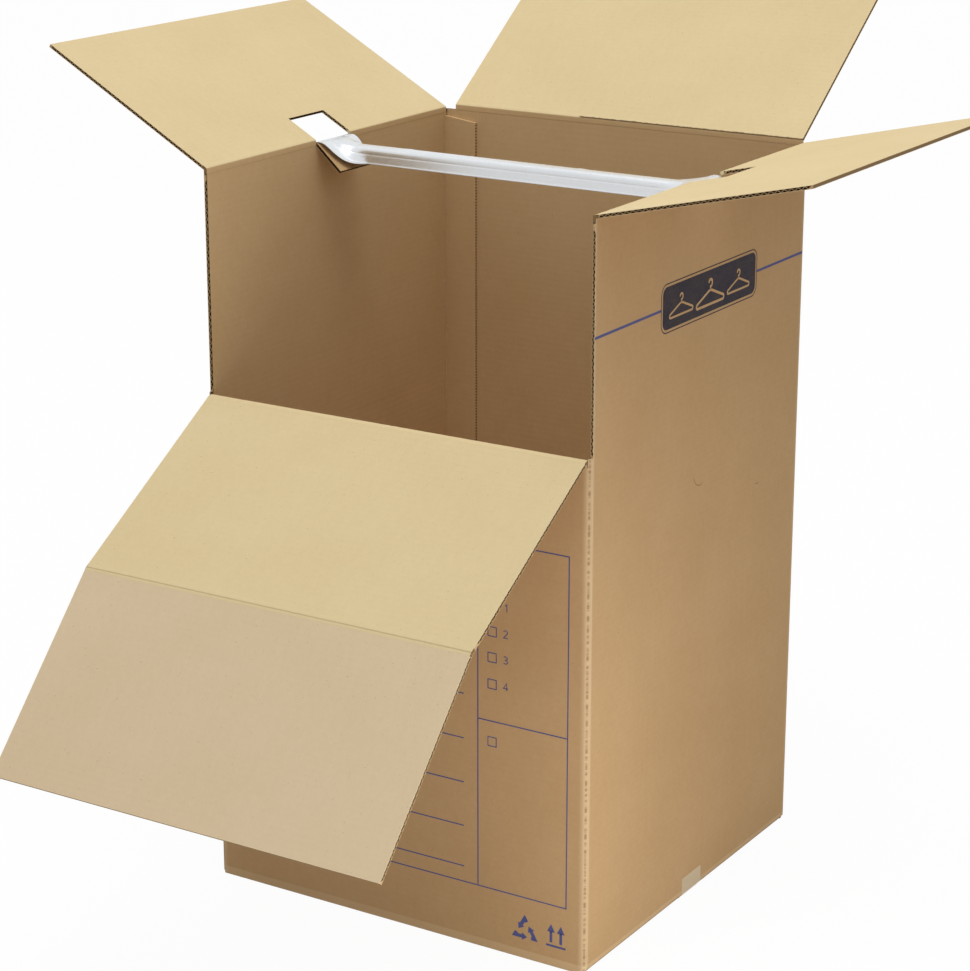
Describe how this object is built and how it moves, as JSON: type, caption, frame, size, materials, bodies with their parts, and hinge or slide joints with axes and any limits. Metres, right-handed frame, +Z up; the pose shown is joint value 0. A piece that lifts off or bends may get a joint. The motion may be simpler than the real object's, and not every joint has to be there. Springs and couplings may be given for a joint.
{
  "type": "wardrobe moving box",
  "caption": "Tall open corrugated moving box with outfolded top flaps, a drop-down front panel and a steel hanger bar across the top.",
  "frame": {"origin": "on the floor under the middle of the box's base, on the tape along the bottom seam", "axes": "+X to the right along the front, +Y from the front to the back, +Z up"},
  "size_m": [0.9858, 1.1255, 1.0334],
  "materials": {
    "kraft_board": "matt brown kraft outer liner",
    "kraft_liner": "matt pale kraft inner liner",
    "zinc_steel": "bright galvanised sheet steel",
    "tape_film": "thin tan packing tape, half gloss"
  },
  "bodies": {
    "box": {"box_shell": "kraft_board", "hanger_bar": "zinc_steel", "bottom_tape": "tape_film"},
    "left_flap": {"left_flap": "kraft_liner"},
    "right_flap": {"right_flap": "kraft_liner"},
    "back_flap": {"back_flap": "kraft_liner"},
    "drop_panel": {"drop_panel": "kraft_liner"},
    "front_flap": {"front_flap": "kraft_liner"}
  },
  "joints": [
    {"name": "left_flap_crease", "type": "hinge", "parent": "box", "child": "left_flap", "pos_m": [-0.25815, 0, 0.87645], "axis": [0, 1, 0], "range_deg": [-119, 151]},
    {"name": "right_flap_crease", "type": "hinge", "parent": "box", "child": "right_flap", "pos_m": [0.25815, 0, 0.87645], "axis": [0, -1, 0], "range_deg": [-103, 167]},
    {"name": "back_flap_crease", "type": "hinge", "parent": "box", "child": "back_flap", "pos_m": [0, 0.25815, 0.88075], "axis": [1, 0, 0], "range_deg": [-126, 144]},
    {"name": "drop_panel_crease", "type": "hinge", "parent": "box", "child": "drop_panel", "pos_m": [0, -0.25815, 0.60875], "axis": [-1, 0, 0], "range_deg": [-49, 122]},
    {"name": "front_flap_crease", "type": "hinge", "parent": "drop_panel", "child": "front_flap", "pos_m": [0, -0.48882, 0.46461], "axis": [-1, 0, 0], "range_deg": [0, 106]}
  ]
}
